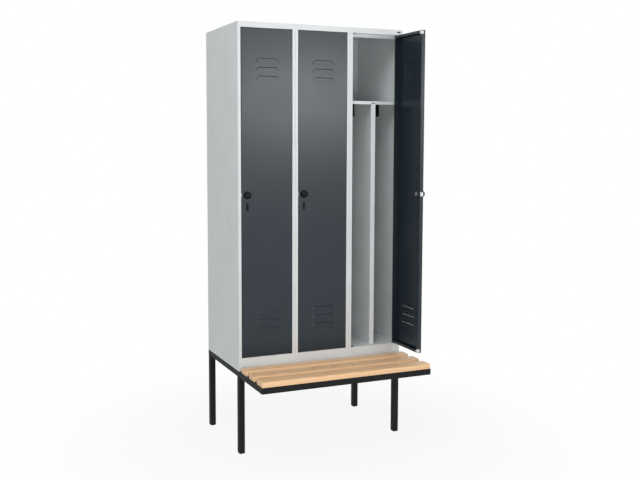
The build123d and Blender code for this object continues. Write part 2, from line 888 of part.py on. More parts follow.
# Base frame of mitred tube: two side rails, a front rail under the bench and a rear rail
with BuildPart() as base_side_rails:
    for outer, inward in ((left, 1), (right, -1)):
        with BuildSketch(Plane.XY.offset(tube_bottom)):
            with BuildLine():
                Polyline(
                    (outer, bench_front),
                    (outer + inward * tube, bench_front + tube),
                    (outer + inward * tube, back - tube),
                    (outer, back),
                    close=True,
                )
            make_face()
        extrude(amount=tube)
    fillet(base_side_rails.edges().filter_by(Axis.Y), radius=tube_corner)
    for outer, inward in ((left, 1), (right, -1)):
        block(
            outer + inward * tube_wall,
            outer + inward * (tube - tube_wall),
            bench_front,
            back,
            tube_bottom + tube_wall,
            base_height - tube_wall,
            Mode.SUBTRACT,
        )
    with BuildSketch(Plane.XY.offset(tube_bottom)):
        with Locations(*slat_bolt_places):
            Circle(slat_bolt_radius + seat_gap)
    extrude(amount=tube, mode=Mode.SUBTRACT)
base_side_rails.part.label = "base_side_rails"
export_step(base_side_rails.part, "parts/base_side_rails.step")

with BuildPart() as bench_front_rail:
    with BuildSketch(Plane.XY.offset(tube_bottom)):
        with BuildLine():
            Polyline(
                (left, bench_front),
                (right, bench_front),
                (right - tube, bench_front + tube),
                (left + tube, bench_front + tube),
                close=True,
            )
        make_face()
    extrude(amount=tube)
    fillet(bench_front_rail.edges().filter_by(Axis.X), radius=tube_corner)
    block(
        left,
        right,
        bench_front + tube_wall,
        bench_front + tube - tube_wall,
        tube_bottom + tube_wall,
        base_height - tube_wall,
        Mode.SUBTRACT,
    )
bench_front_rail.part.label = "bench_front_rail"
export_step(bench_front_rail.part, "parts/bench_front_rail.step")

# Rails across the base under the front and the back of the body; the rear one is mitred
with BuildPart() as base_cross_rails:
    with BuildSketch(Plane.XY.offset(tube_bottom)):
        with BuildLine():
            Polyline(
                (left, back),
                (left + tube, back - tube),
                (right - tube, back - tube),
                (right, back),
                close=True,
            )
        make_face()
        area(left + tube, right - tube, front, front + tube)
    extrude(amount=tube)
    fillet(base_cross_rails.edges().filter_by(Axis.X), radius=tube_corner)
    for y_from in (front, back - tube):
        block(
            left,
            right,
            y_from + tube_wall,
            y_from + tube - tube_wall,
            tube_bottom + tube_wall,
            base_height - tube_wall,
            Mode.SUBTRACT,
        )
    with BuildSketch(Plane.XY.offset(tube_bottom)):
        with Locations(*body_bolt_places):
            Circle(body_bolt_radius + seat_gap)
    extrude(amount=tube, mode=Mode.SUBTRACT)
base_cross_rails.part.label = "base_cross_rails"
export_step(base_cross_rails.part, "parts/base_cross_rails.step")

# Legs under the corners of the body, closed at the foot by plugs
leg_places = []
for x in (left + tube / 2, right - tube / 2):
    for y in (front_bolt_y, rear_bolt_y):
        leg_places.append((x, y))

with BuildPart() as legs:
    with BuildSketch(Plane.XY.offset(foot_height)):
        with Locations(*leg_places):
            RectangleRounded(tube, tube, tube_corner)
            Rectangle(tube - 2 * tube_wall, tube - 2 * tube_wall, mode=Mode.SUBTRACT)
    extrude(amount=tube_bottom - foot_height)
legs.part.label = "legs"
export_step(legs.part, "parts/legs.step")

plug_side = tube - 2 * tube_wall - 2 * fixed_fit
with BuildPart() as foot_plugs:
    with BuildSketch(Plane.XY):
        with Locations(*leg_places):
            Rectangle(tube, tube)
    extrude(amount=foot_height)
    fillet(foot_plugs.edges().group_by(Axis.Z)[0], radius=foot_round)
    fillet(foot_plugs.edges().filter_by(Axis.Z), radius=tube_corner)
    with BuildSketch(Plane.XY.offset(foot_height)):
        with Locations(*leg_places):
            Rectangle(plug_side, plug_side)
    extrude(amount=foot_plug_height)
foot_plugs.part.label = "foot_plugs"
export_step(foot_plugs.part, "parts/foot_plugs.step")

# Bench slats, rounded along their long edges and screwed from below
for name, y_centre in zip(("bench_slat_rear", "bench_slat_middle", "bench_slat_front"), slat_centres):
    with BuildPart() as slat:
        with BuildSketch(Plane.YZ.offset(left + slat_end_gap)) as section:
            area(y_centre - slat_width / 2, y_centre + slat_width / 2, base_height, base_height + slat_thickness)
            fillet(section.vertices().group_by(Axis.Y)[-1], radius=slat_top_radius)
            fillet(section.vertices().group_by(Axis.Y)[0], radius=slat_bottom_radius)
        extrude(amount=body_width - 2 * slat_end_gap)
        with BuildSketch(Plane.XY.offset(base_height)):
            with Locations((left + tube / 2, y_centre), (right - tube / 2, y_centre)):
                Circle(slat_bolt_radius + fixed_fit)
        extrude(amount=slat_bolt_bite, mode=Mode.SUBTRACT)
    slat.part.label = name
    export_step(slat.part, f"parts/{name}.step")

with BuildPart() as slat_bolts:
    with BuildSketch(Plane.XY.offset(tube_bottom)):
        with Locations(*slat_bolt_places):
            Circle(slat_bolt_radius)
    extrude(amount=tube + slat_bolt_bite)
    with BuildSketch(Plane.XY.offset(tube_bottom)):
        with Locations(*slat_bolt_places):
            Circle(slat_bolt_head_radius)
    extrude(amount=-slat_bolt_head_height)
slat_bolts.part.label = "slat_bolts"
export_step(slat_bolts.part, "parts/slat_bolts.step")

# Bolts with nuts that hold the body down on its base
with BuildPart() as body_bolts:
    with BuildSketch(Plane.XY.offset(tube_bottom)):
        with Locations(*body_bolt_places):
            Circle(body_bolt_radius)
    extrude(amount=tube + sheet + hex_height + body_bolt_end)
    for level, outward in ((tube_bottom, -1), (base_height + sheet, 1)):
        with BuildSketch(Plane.XY.offset(level)):
            with Locations(*body_bolt_places):
                RegularPolygon(hex_radius, 6)
        extrude(amount=outward * hex_height)
body_bolts.part.label = "body_bolts"
export_step(body_bolts.part, "parts/body_bolts.step")
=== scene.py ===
import json
import math

import bmesh
import bpy
from mathutils import Matrix, Vector


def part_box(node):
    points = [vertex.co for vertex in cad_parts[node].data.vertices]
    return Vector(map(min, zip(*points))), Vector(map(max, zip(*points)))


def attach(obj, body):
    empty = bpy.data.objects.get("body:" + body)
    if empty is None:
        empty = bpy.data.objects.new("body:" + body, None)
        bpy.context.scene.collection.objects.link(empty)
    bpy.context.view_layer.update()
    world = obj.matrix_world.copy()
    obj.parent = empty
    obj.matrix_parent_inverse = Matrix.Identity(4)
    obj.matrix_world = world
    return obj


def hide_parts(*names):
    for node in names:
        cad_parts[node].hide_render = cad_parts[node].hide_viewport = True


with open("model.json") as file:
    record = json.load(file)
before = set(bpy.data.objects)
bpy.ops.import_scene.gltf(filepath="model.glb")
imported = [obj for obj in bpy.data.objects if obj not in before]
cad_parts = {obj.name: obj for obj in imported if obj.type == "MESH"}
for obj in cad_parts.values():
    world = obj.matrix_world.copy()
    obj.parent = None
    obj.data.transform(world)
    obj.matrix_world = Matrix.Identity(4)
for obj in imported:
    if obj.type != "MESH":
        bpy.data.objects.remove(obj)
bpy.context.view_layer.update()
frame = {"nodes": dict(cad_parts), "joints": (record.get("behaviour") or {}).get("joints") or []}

bl_info = {
    "name": "Clothes locker with bench",
    "version": (1, 0, 0),
    "blender": (4, 5, 0),
    "location": "3D View > Sidebar > Locker",
    "description": "Finishes and small pieces of a three-door clothes locker, and its studio",
    "category": "Object",
}

MM = 0.001
WHITE = (1.0, 1.0, 1.0)
DOORS = (1, 2, 3)
SIDES = ("left", "right")
SLATS = ("front", "middle", "rear")

# CAD nodes by their finish
BODY_NODES = (
    "top_panel", "side_panel_left", "side_panel_right", "back_panel", "floor_panel",
    "rear_foot_angle", "top_rail", "bottom_rail", "corner_stile_left", "corner_stile_right",
    "centre_post_1", "centre_post_2", "door_stops", "partition_walls", "hat_shelves",
    "dividers", "divider_edges",
)
DOOR_NODES = tuple(f"{node}_{k}" for node in ("door_panel", "lock_case") for k in DOORS)
BASE_NODES = (
    "base_side_rails", "bench_front_rail", "base_cross_rails", "legs", "garment_rails",
)
ZINC_NODES = ("slat_bolts", "body_bolts") + tuple(
    f"{node}_{k}" for node in ("hinge_pins", "lock_bolt", "lock_spindle") for k in DOORS
)
PLASTIC_NODES = ("hinge_bushes", "rail_holders", "foot_plugs") + tuple(
    f"keyhole_cover_{k}" for k in DOORS
) + tuple(f"coat_hook_{side}_{k}" for side in SIDES for k in DOORS)
BUFFER_NODES = tuple(f"door_buffers_{k}" for k in DOORS)

# Side of the base's square tube, as in the CAD model
TUBE = 30 * MM

SHADE_SHARP_FROM = math.radians(40)

KNOB_LOBES = 6
POINTS_PER_LOBE = 16
# Above 1, the hollows between the lobes are narrower than the lobes
HOLLOW_POWER = 1.5
# Rings of the knob from its foot: share of the radius, share of the length, depth of the lobes
KNOB_RINGS = (
    (0.93, 0.0, 1.0), (1.0, 0.06, 1.0), (1.0, 0.26, 1.0), (0.975, 0.42, 1.0),
    (0.92, 0.58, 0.95), (0.83, 0.73, 0.8), (0.7, 0.86, 0.55), (0.54, 0.95, 0.25),
    (0.36, 0.99, 0.0), (0.18, 1.0, 0.0),
)

# Studio in metres. Each softbox: its place, the point that it faces, its width and height,
# and the property that holds its power
SOFTBOXES = {
    "top_softbox": ((-1.7, -2.0, 4.2), (0, 0, 1.0), (2.0, 2.0), "top_power"),
    "fill_softbox": ((-1.8, -5.0, 0.8), (0.3, 0, 0.8), (2.4, 1.4), "fill_power"),
    "strip_softbox": ((1.5, -4.0, 2.03), (0, 0, 1.75), (1.6, 0.4), "strip_power"),
}
FLOOR_REACH = 60
CAMERA_REACH = 200
SENSOR_WIDTH = 36


def linear(hex_colour):
    """Turn an sRGB hex colour to linear values."""
    channels = (int(hex_colour[i:i + 2], 16) / 255 for i in (1, 3, 5))
    return tuple(c / 12.92 if c <= 0.04045 else ((c + 0.055) / 1.055) ** 2.4 for c in channels)


def colour_property(name, description, hex_colour):
    """A colour that a user can change, with its default in hex."""
    return bpy.props.FloatVectorProperty(
        name=name, description=description, subtype="COLOR", size=3, min=0, max=1,
        default=linear(hex_colour),
    )


def length_property(name, description, millimetres):
    """A length that a user can change, with its default in millimetres."""
    return bpy.props.FloatProperty(
        name=name, description=description, subtype="DISTANCE", unit="LENGTH", min=0,
        default=millimetres * MM,
    )


class LockerFinishes(bpy.types.PropertyGroup):
    """Colours and surface scales of the locker."""

    body_colour: colour_property("Body", "Powder coat of the body", "#D6DADB")
    door_colour: colour_property("Doors", "Powder coat of the doors", "#19252E")
    base_colour: colour_property("Base", "Powder coat of the base and garment rails", "#0E1012")
    beech_light: colour_property("Early wood", "Light part of the beech", "#F4D2A8")
    beech_dark: colour_property("Late wood", "Dark part of the beech", "#E6B17D")
    beech_fleck: colour_property("Flecks", "Ray flecks of the beech", "#B48A5E")
    zinc_colour: colour_property("Zinc", "Bright zinc plating", "#C9CCCC")
    plastic_colour: colour_property("Black plastic", "Moulded polyamide", "#090B0D")
    buffer_colour: colour_property("Buffers", "Soft white plastic", "#DCDEDD")
    peel_pitch: length_property("Orange peel", "Spacing of the powder coat's peel", 1.6)
    ring_pitch: length_property("Growth rings", "Spacing of the growth rings", 7)
    grain_pitch: length_property("Moulding grain", "Spacing of the mould's sparked grain", 0.5)


class LockerSizes(bpy.types.PropertyGroup):
    """Sizes of the pieces that are added to the CAD model."""

    slat_round: length_property("Slat rounding", "Radius along a slat's upper edges", 8)
    slat_ease: length_property("Slat easing", "Radius on a slat's other edges", 2)
    knob_radius: length_property("Knob radius", "Over the knob's lobes", 19)
    knob_waist: length_property("Knob waist", "Between the knob's lobes", 16.2)
    weld_size: length_property("Weld size", "Half width of the weld beads on the legs", 3)


class LockerStudio(bpy.types.PropertyGroup):
    """Camera, lamps and room light."""

    lens: bpy.props.FloatProperty(
        name="Lens", description="Focal length on a 36 mm sensor", unit="CAMERA",
        default=48.3088)
    yaw: bpy.props.FloatProperty(
        name="Turn", description="Camera's turn to the right of straight ahead",
        subtype="ANGLE", default=math.radians(22.616))
    tilt: bpy.props.FloatProperty(
        name="Tilt", description="Camera's tilt below level", subtype="ANGLE",
        default=math.radians(5))
    place: bpy.props.FloatVectorProperty(
        name="Place", description="Where the camera stands", subtype="TRANSLATION",
        default=(-1.82266, -4.00938, 1.545192))
    shift: bpy.props.FloatVectorProperty(
        name="Shift", description="Lens shift that frames the photograph", size=2,
        default=(0.05052, -0.0355))
    room_light: bpy.props.FloatProperty(
        name="Room light", description="Strength of the even light", default=0.37)
    top_power: bpy.props.FloatProperty(
        name="Top softbox", description="Power of the softbox high in front", unit="POWER",
        default=62)
    fill_power: bpy.props.FloatProperty(
        name="Fill softbox", description="Power of the low softbox behind the camera",
        unit="POWER", default=58)
    strip_power: bpy.props.FloatProperty(
        name="Strip softbox", description="Power of the softbox that the doors mirror",
        unit="POWER", default=33)


def add_node(tree, kind, inputs=None, **settings):
    """Add a shader node with its settings, and set or link its inputs."""
    node = tree.nodes.new(kind)
    for key, value in settings.items():
        setattr(node, key, value)
    for key, value in (inputs or {}).items():
        socket = node.inputs[key]
        if isinstance(value, bpy.types.NodeSocket):
            tree.links.new(value, socket)
        elif socket.type == "RGBA" and len(value) == 3:
            socket.default_value = (*value, 1)
        else:
            socket.default_value = value
    return node


def new_material(name):
    """An empty node material, its node tree and its Object coordinates."""
    material = bpy.data.materials.new(name)
    material.use_nodes = True
    tree = material.node_tree
    tree.nodes.clear()
    place = add_node(tree, "ShaderNodeTexCoord").outputs["Object"]
    return material, tree, place


def show_surface(tree, shader):
    """Link a shader to the material's output."""
    add_node(tree, "ShaderNodeOutputMaterial", {"Surface": shader.outputs[0]})


def set_stops(ramp, positions, colours):
    """Place the two colours of a colour ramp."""
    for stop, position, colour in zip(ramp.color_ramp.elements, positions, colours):
        stop.position = position
        stop.color = (*colour, 1)


def shades(colour, *shares):
    """The colour times each share, for its darker and its lighter shade."""
    return [tuple(min(channel * share, 1) for channel in colour) for share in shares]


def give_material(nodes, material):
    """Give CAD nodes a material."""
    for node in nodes:
        slots = frame["nodes"][node].data.materials
        slots.clear()
        slots.append(material)


def powder_coat(name, colour, peel_pitch, roughness, gloss):
    """Powder coat, sprayed on bent sheet steel and baked.

    The eye sees a satin coat with a fine orange peel, and the slow waves of the thin sheet below.
    """
    sheet_wave, sheet_depth = 300 * MM, 0.6 * MM
    peel_depth = 0.03 * MM
    cloud_size = 150 * MM
    roughness_spread = 0.03
    material, tree, place = new_material(name)
    waves = add_node(tree, "ShaderNodeTexNoise",
                     {"Vector": place, "Scale": 1 / sheet_wave, "Detail": 0.0})
    sheet = add_node(tree, "ShaderNodeBump",
                     {"Height": waves.outputs["Fac"], "Distance": sheet_depth, "Strength": 1.0})
    peel = add_node(tree, "ShaderNodeTexNoise",
                    {"Vector": place, "Scale": 1 / peel_pitch, "Detail": 1.0})
    skin = add_node(tree, "ShaderNodeBump",
                    {"Height": peel.outputs["Fac"], "Distance": peel_depth, "Strength": 1.0,
                     "Normal": sheet.outputs["Normal"]})
    cloud = add_node(tree, "ShaderNodeTexNoise",
                     {"Vector": place, "Scale": 1 / cloud_size, "Detail": 1.0})
    # The noise stays between the stops: one that it passed would draw outlines on the doors
    tone = add_node(tree, "ShaderNodeValToRGB", {"Fac": cloud.outputs["Fac"]})
    set_stops(tone, (0, 1), shades(colour, 0.92, 1.08))
    matt = add_node(tree, "ShaderNodeMapRange",
                    {"Value": cloud.outputs["Fac"], "To Min": roughness - roughness_spread,
                     "To Max": roughness + roughness_spread})
    shader = add_node(tree, "ShaderNodeBsdfPrincipled",
                      {"Base Color": tone.outputs["Color"], "Roughness": matt.outputs["Result"],
                       "Normal": skin.outputs["Normal"], "IOR": 1.5, "Specular IOR Level": gloss})
    show_surface(tree, shader)
    return material


def zinc_plate(name, colour):
    """Bright zinc plating on turned and drawn steel.

    The eye sees a soft metal shine with fine drawing marks.
    """
    # The marks are coarser than real ones so that they show
    mark_pitch, mark_depth = 0.8 * MM, 0.01 * MM
    cloud_size = 20 * MM
    material, tree, place = new_material(name)
    marks = add_node(tree, "ShaderNodeTexNoise",
                     {"Vector": place, "Scale": 1 / mark_pitch, "Detail": 2.0})
    clouds = add_node(tree, "ShaderNodeTexNoise",
                      {"Vector": place, "Scale": 1 / cloud_size, "Detail": 2.0})
    tone = add_node(tree, "ShaderNodeValToRGB", {"Fac": clouds.outputs["Fac"]})
    set_stops(tone, (0.35, 0.65), shades(colour, 0.9, 1.0))
    matt = add_node(tree, "ShaderNodeMapRange",
                    {"Value": clouds.outputs["Fac"], "To Min": 0.26, "To Max": 0.4})
    skin = add_node(tree, "ShaderNodeBump",
                    {"Height": marks.outputs["Fac"], "Distance": mark_depth, "Strength": 1.0})
    shader = add_node(tree, "ShaderNodeBsdfPrincipled",
                      {"Base Color": tone.outputs["Color"], "Metallic": 1.0,
                       "Roughness": matt.outputs["Result"], "Normal": skin.outputs["Normal"]})
    show_surface(tree, shader)
    return material


def moulded_plastic(name, colour, grain_pitch, roughness):
    """Injection moulded plastic.

    The eye sees the fine grain that the sparked mould leaves, and a dull shine.
    """
    grain_depth = 0.02 * MM
    cloud_size = 12 * MM
    roughness_spread = 0.05
    material, tree, place = new_material(name)
    grain = add_node(tree, "ShaderNodeTexVoronoi",
                     {"Vector": place, "Scale": 1 / grain_pitch}, feature="SMOOTH_F1")
    clouds = add_node(tree, "ShaderNodeTexNoise",
                      {"Vector": place, "Scale": 1 / cloud_size, "Detail": 2.0})
    tone = add_node(tree, "ShaderNodeValToRGB", {"Fac": clouds.outputs["Fac"]})
    set_stops(tone, (0.3, 0.7), shades(colour, 0.92, 1.05))
    skin = add_node(tree, "ShaderNodeBump",
                    {"Height": grain.outputs["Distance"], "Distance": grain_depth,
                     "Strength": 1.0})
    matt = add_node(tree, "ShaderNodeMapRange",
                    {"Value": clouds.outputs["Fac"], "To Min": roughness - roughness_spread,
                     "To Max": roughness + roughness_spread})
    shader = add_node(tree, "ShaderNodeBsdfPrincipled",
                      {"Base Color": tone.outputs["Color"], "Roughness": matt.outputs["Result"],
                       "Normal": skin.outputs["Normal"], "IOR": 1.53,
                       "Specular IOR Level": 0.2})
    show_surface(tree, shader)
    return material


def lacquered_beech(name, finishes, slat_back, slat_pitch):
    """Planed and lacquered beech.

    The eye sees long plain-sawn rings, fine fibres along the slat and short dark ray flecks.
    Every slat is cut from another place of the log.
    """
    # Each of these runs along, across and up through the bench
    cut_spread = (1000 * MM, 60 * MM, 50 * MM)
    heart_offset = (0, 240 * MM, -350 * MM)
    log_lean = (0, math.radians(1.3), math.radians(1.8))
    bend_reach = (0, 40 * MM, 40 * MM)
    # Fibres of 71 by 2.4 mm, coarser than real ones so that they show
    fibres_per_metre = (14, 420, 420)
    # Flecks of 4.3 by 0.8 by 1.1 mm
    flecks_per_metre = (230, 1300, 900)
    bends_per_metre = 3
    fibre_depth = 0.08 * MM
    ring_weight, fibre_weight = 0.45, 0.75
    fleck_core, fleck_edge, fleck_strength = 0.12, 0.3, 0.55
    material, tree, place = new_material(name)

    # A number for each slat, counted from the back of the bench
    split = add_node(tree, "ShaderNodeSeparateXYZ", {"Vector": place})
    from_back = add_node(tree, "ShaderNodeMath",
                         {0: slat_back, 1: split.outputs["Y"]}, operation="SUBTRACT")
    count = add_node(tree, "ShaderNodeMath",
                     {0: from_back.outputs[0], 1: slat_pitch}, operation="DIVIDE")
    slat = add_node(tree, "ShaderNodeMath", {0: count.outputs[0]}, operation="FLOOR")
    chance = add_node(tree, "ShaderNodeTexWhiteNoise",
                      {"W": slat.outputs[0]}, noise_dimensions="1D")
    spread = add_node(tree, "ShaderNodeVectorMath",
                      {0: chance.outputs["Color"], 1: cut_spread}, operation="MULTIPLY")
    cut = add_node(tree, "ShaderNodeVectorMath",
                   {0: place, 1: spread.outputs[0]}, operation="ADD")

    # Growth rings round the log's heart, which lies below the bench and leans a little
    log = add_node(tree, "ShaderNodeMapping",
                   {"Vector": cut.outputs[0], "Location": heart_offset, "Rotation": log_lean},
                   vector_type="POINT")
    bend = add_node(tree, "ShaderNodeTexNoise",
                    {"Vector": log.outputs[0], "Scale": bends_per_metre, "Detail": 2.0})
    wander = add_node(tree, "ShaderNodeVectorMath",
                      {0: bend.outputs["Color"], 1: bend_reach, 2: log.outputs[0]},
                      operation="MULTIPLY_ADD")
    # A wave of scale 1 has a ring every pi/10 units
    rings = add_node(tree, "ShaderNodeTexWave",
                     {"Vector": wander.outputs[0], "Scale": math.pi / 10 / finishes.ring_pitch,
                      "Distortion": 1.2, "Detail": 2.0, "Detail Scale": 0.4},
                     wave_type="RINGS", rings_direction="X", wave_profile="SIN")

    stretch = add_node(tree, "ShaderNodeMapping",
                       {"Vector": cut.outputs[0], "Scale": fibres_per_metre})
    fibre = add_node(tree, "ShaderNodeTexNoise",
                     {"Vector": stretch.outputs[0], "Scale": 1.0, "Detail": 3.0})
    ring_share = add_node(tree, "ShaderNodeMath",
                          {0: rings.outputs["Fac"], 1: ring_weight}, operation="MULTIPLY")
    dark_share = add_node(tree, "ShaderNodeMath",
                          {0: fibre.outputs["Fac"], 1: fibre_weight, 2: ring_share.outputs[0]},
                          operation="MULTIPLY_ADD")
    wood = add_node(tree, "ShaderNodeValToRGB", {"Fac": dark_share.outputs[0]})
    set_stops(wood, (0.3, 0.95), (finishes.beech_light, finishes.beech_dark))

    fleck_place = add_node(tree, "ShaderNodeMapping",
                           {"Vector": cut.outputs[0], "Scale": flecks_per_metre})
    fleck = add_node(tree, "ShaderNodeTexVoronoi",
                     {"Vector": fleck_place.outputs[0], "Scale": 1.0}, feature="F1")
    in_fleck = add_node(tree, "ShaderNodeMapRange",
                        {"Value": fleck.outputs["Distance"], "From Min": fleck_core,
                         "From Max": fleck_edge, "To Min": fleck_strength, "To Max": 0.0})
    flecked = add_node(tree, "ShaderNodeMix",
                       {"Factor": in_fleck.outputs["Result"], "A": wood.outputs["Color"],
                        "B": tuple(finishes.beech_fleck)}, data_type="RGBA")
    tone = add_node(tree, "ShaderNodeMapRange",
                    {"Value": chance.outputs["Value"], "To Min": 0.94, "To Max": 1.04})
    toned = add_node(tree, "ShaderNodeVectorMath",
                     {0: flecked.outputs["Result"], "Scale": tone.outputs["Result"]},
                     operation="SCALE")

    skin = add_node(tree, "ShaderNodeBump",
                    {"Height": fibre.outputs["Fac"], "Distance": fibre_depth, "Strength": 1.0})
    matt = add_node(tree, "ShaderNodeMapRange",
                    {"Value": fibre.outputs["Fac"], "To Min": 0.36, "To Max": 0.52})
    shader = add_node(tree, "ShaderNodeBsdfPrincipled",
                      {"Base Color": toned.outputs[0], "Roughness": matt.outputs["Result"],
                       "Normal": skin.outputs["Normal"], "IOR": 1.5})
    show_surface(tree, shader)
    return material


def add_piece(name, mesh, material, body, replaced=None):
    """Make a finished bmesh an object that rides on a body, in the place of a CAD node if any."""
    bmesh.ops.recalc_face_normals(mesh, faces=mesh.faces)
    data = bpy.data.meshes.new(name)
    mesh.to_mesh(data)
    mesh.free()
    data.shade_smooth()
    data.set_sharp_from_angle(angle=SHADE_SHARP_FROM)
    data.materials.append(material)
    piece = bpy.data.objects.new(name, data)
    bpy.context.scene.collection.objects.link(piece)
    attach(piece, body)
    if replaced:
        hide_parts(replaced)


def named_material(name):
    """A material that an earlier operator made."""
    material = bpy.data.materials.get(name)
    if material is None:
        raise RuntimeError(f"material {name} is missing: run the finish operators first")
    return material


class LOCKER_OT_coat_body(bpy.types.Operator):
    """Coat the sheets of the body in light grey"""

    bl_idname = "locker.coat_body"
    bl_label = "Coat the body"

    def execute(self, context):
        finishes = context.scene.locker_finishes
        give_material(BODY_NODES, powder_coat(
            "light_grey_powder_coat", finishes.body_colour, finishes.peel_pitch,
            roughness=0.42, gloss=0.5))
        return {"FINISHED"}


class LOCKER_OT_coat_doors(bpy.types.Operator):
    """Coat the doors and their lock cases in anthracite"""

    bl_idname = "locker.coat_doors"
    bl_label = "Coat the doors"

    def execute(self, context):
        finishes = context.scene.locker_finishes
        give_material(DOOR_NODES, powder_coat(
            "anthracite_powder_coat", finishes.door_colour, finishes.peel_pitch,
            roughness=0.3, gloss=0.44))
        return {"FINISHED"}


class LOCKER_OT_coat_base(bpy.types.Operator):
    """Coat the tube base and the garment rails in black grey"""

    bl_idname = "locker.coat_base"
    bl_label = "Coat the base"

    def execute(self, context):
        finishes = context.scene.locker_finishes
        give_material(BASE_NODES, powder_coat(
            "black_grey_powder_coat", finishes.base_colour, finishes.peel_pitch,
            roughness=0.7, gloss=0.25))
        return {"FINISHED"}


class LOCKER_OT_plate_hardware(bpy.types.Operator):
    """Plate the pins, bolts and lock parts with zinc"""

    bl_idname = "locker.plate_hardware"
    bl_label = "Plate the hardware"

    def execute(self, context):
        finishes = context.scene.locker_finishes
        give_material(ZINC_NODES, zinc_plate("bright_zinc_plating", finishes.zinc_colour))
        return {"FINISHED"}


class LOCKER_OT_mould_plastics(bpy.types.Operator):
    """Give the bushes, holders, hooks, plugs, covers and buffers their plastics"""

    bl_idname = "locker.mould_plastics"
    bl_label = "Mould the plastics"

    def execute(self, context):
        finishes = context.scene.locker_finishes
        give_material(PLASTIC_NODES, moulded_plastic(
            "black_moulded_polyamide", finishes.plastic_colour, finishes.grain_pitch,
            roughness=0.62))
        give_material(BUFFER_NODES, moulded_plastic(
            "white_soft_plastic", finishes.buffer_colour, finishes.grain_pitch,
            roughness=0.5))
        return {"FINISHED"}


class LOCKER_OT_make_slats(bpy.types.Operator):
    """Plane the three bench slats"""

    bl_idname = "locker.make_slats"
    bl_label = "Bench slats"

    def execute(self, context):
        finishes = context.scene.locker_finishes
        boxes = {name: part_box(f"bench_slat_{name}") for name in SLATS}
        pitch = boxes["rear"][0].y - boxes["middle"][0].y
        width = boxes["rear"][1].y - boxes["rear"][0].y
        # A slat's share of the wood reaches to the middle of the gaps beside it
        back = boxes["rear"][1].y + (pitch - width) / 2
        beech = lacquered_beech("lacquered_beech", finishes, back, pitch)
        for name, (low, high) in boxes.items():
            slat = self.plane_slat(context.scene.locker_sizes, low, high)
            add_piece(f"beech_slat_{name}", slat, beech, "locker", f"bench_slat_{name}")
        return {"FINISHED"}

    def plane_slat(self, sizes, low, high):
        """A slat with rounded upper edges, and its other edges eased."""
        corner = math.radians(60)
        slat = bmesh.new()
        bmesh.ops.create_cube(slat, size=1)
        bmesh.ops.scale(slat, vec=high - low, verts=slat.verts)
        bmesh.ops.translate(slat, vec=(low + high) / 2, verts=slat.verts)
        middle = (low + high) / 2
        upper = [e for e in slat.edges
                 if abs(e.verts[0].co.x - e.verts[1].co.x) > sizes.slat_round
                 and e.verts[0].co.z > middle.z]
        self.round_edges(slat, upper, sizes.slat_round, segments=5)
        others = [e for e in slat.edges if e.calc_face_angle(0) > corner]
        self.round_edges(slat, others, sizes.slat_ease, segments=3)
        return slat

    def round_edges(self, slat, edges, radius, segments):
        """Round some of a slat's edges."""
        bmesh.ops.bevel(slat, geom=edges, offset=radius, segments=segments, affect="EDGES",
                        profile=0.5, material=-1, clamp_overlap=True)


class LOCKER_OT_make_knobs(bpy.types.Operator):
    """Mould the six-lobed turning knobs"""

    bl_idname = "locker.make_knobs"
    bl_label = "Knobs"

    def execute(self, context):
        black = named_material("black_moulded_polyamide")
        front = Vector((0, -1, 0))
        # A knob is modelled with its foot at the origin and its axis along Z, and is laid forward
        forward = Matrix.Rotation(math.radians(90), 4, "X")
        for k in DOORS:
            low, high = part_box(f"knob_{k}")
            joint = next(j for j in frame["joints"] if j["name"] == f"knob_turn_{k}")
            outward = Vector(joint["axis"]).normalized()
            length = abs((high - low).dot(outward))
            knob = self.mould_knob(context.scene.locker_sizes, length)
            place = Matrix.Translation((low + high) / 2)
            turn = front.rotation_difference(outward).to_matrix().to_4x4()
            foot = Matrix.Translation(-front * length / 2)
            bmesh.ops.transform(knob, matrix=place @ turn @ foot @ forward, verts=knob.verts)
            add_piece(f"turning_knob_{k}", knob, black, f"knob_{k}",
                      f"knob_{k}")
        return {"FINISHED"}

    def mould_knob(self, sizes, length):
        """A domed knob with lobes round its rim."""
        segments = KNOB_LOBES * POINTS_PER_LOBE
        lobe_depth = sizes.knob_radius - sizes.knob_waist
        knob = bmesh.new()
        circle = bmesh.ops.create_circle(knob, cap_ends=False, radius=1, segments=segments)
        levels = [circle["verts"]]
        edges = knob.edges[:]
        for _ in KNOB_RINGS[1:]:
            made = bmesh.ops.extrude_edge_only(knob, edges=edges)["geom"]
            levels.append([v for v in made if isinstance(v, bmesh.types.BMVert)])
            edges = [e for e in made if isinstance(e, bmesh.types.BMEdge)
                     and all(v in levels[-1] for v in e.verts)]
        for verts, (width, rise, depth) in zip(levels, KNOB_RINGS):
            for v in verts:
                angle = math.atan2(v.co.y, v.co.x)
                # 0 on a lobe and 1 in the middle of a hollow
                hollow = (1 - math.cos(KNOB_LOBES * (angle - math.pi / 2))) / 2
                sunk = depth * lobe_depth * hollow ** HOLLOW_POWER
                reach = (sizes.knob_radius - sunk) * width
                v.co = (reach * math.cos(angle), reach * math.sin(angle), rise * length)
        rims = [e for e in knob.edges if e.is_boundary]
        bmesh.ops.holes_fill(knob, edges=rims, sides=segments)
        return knob


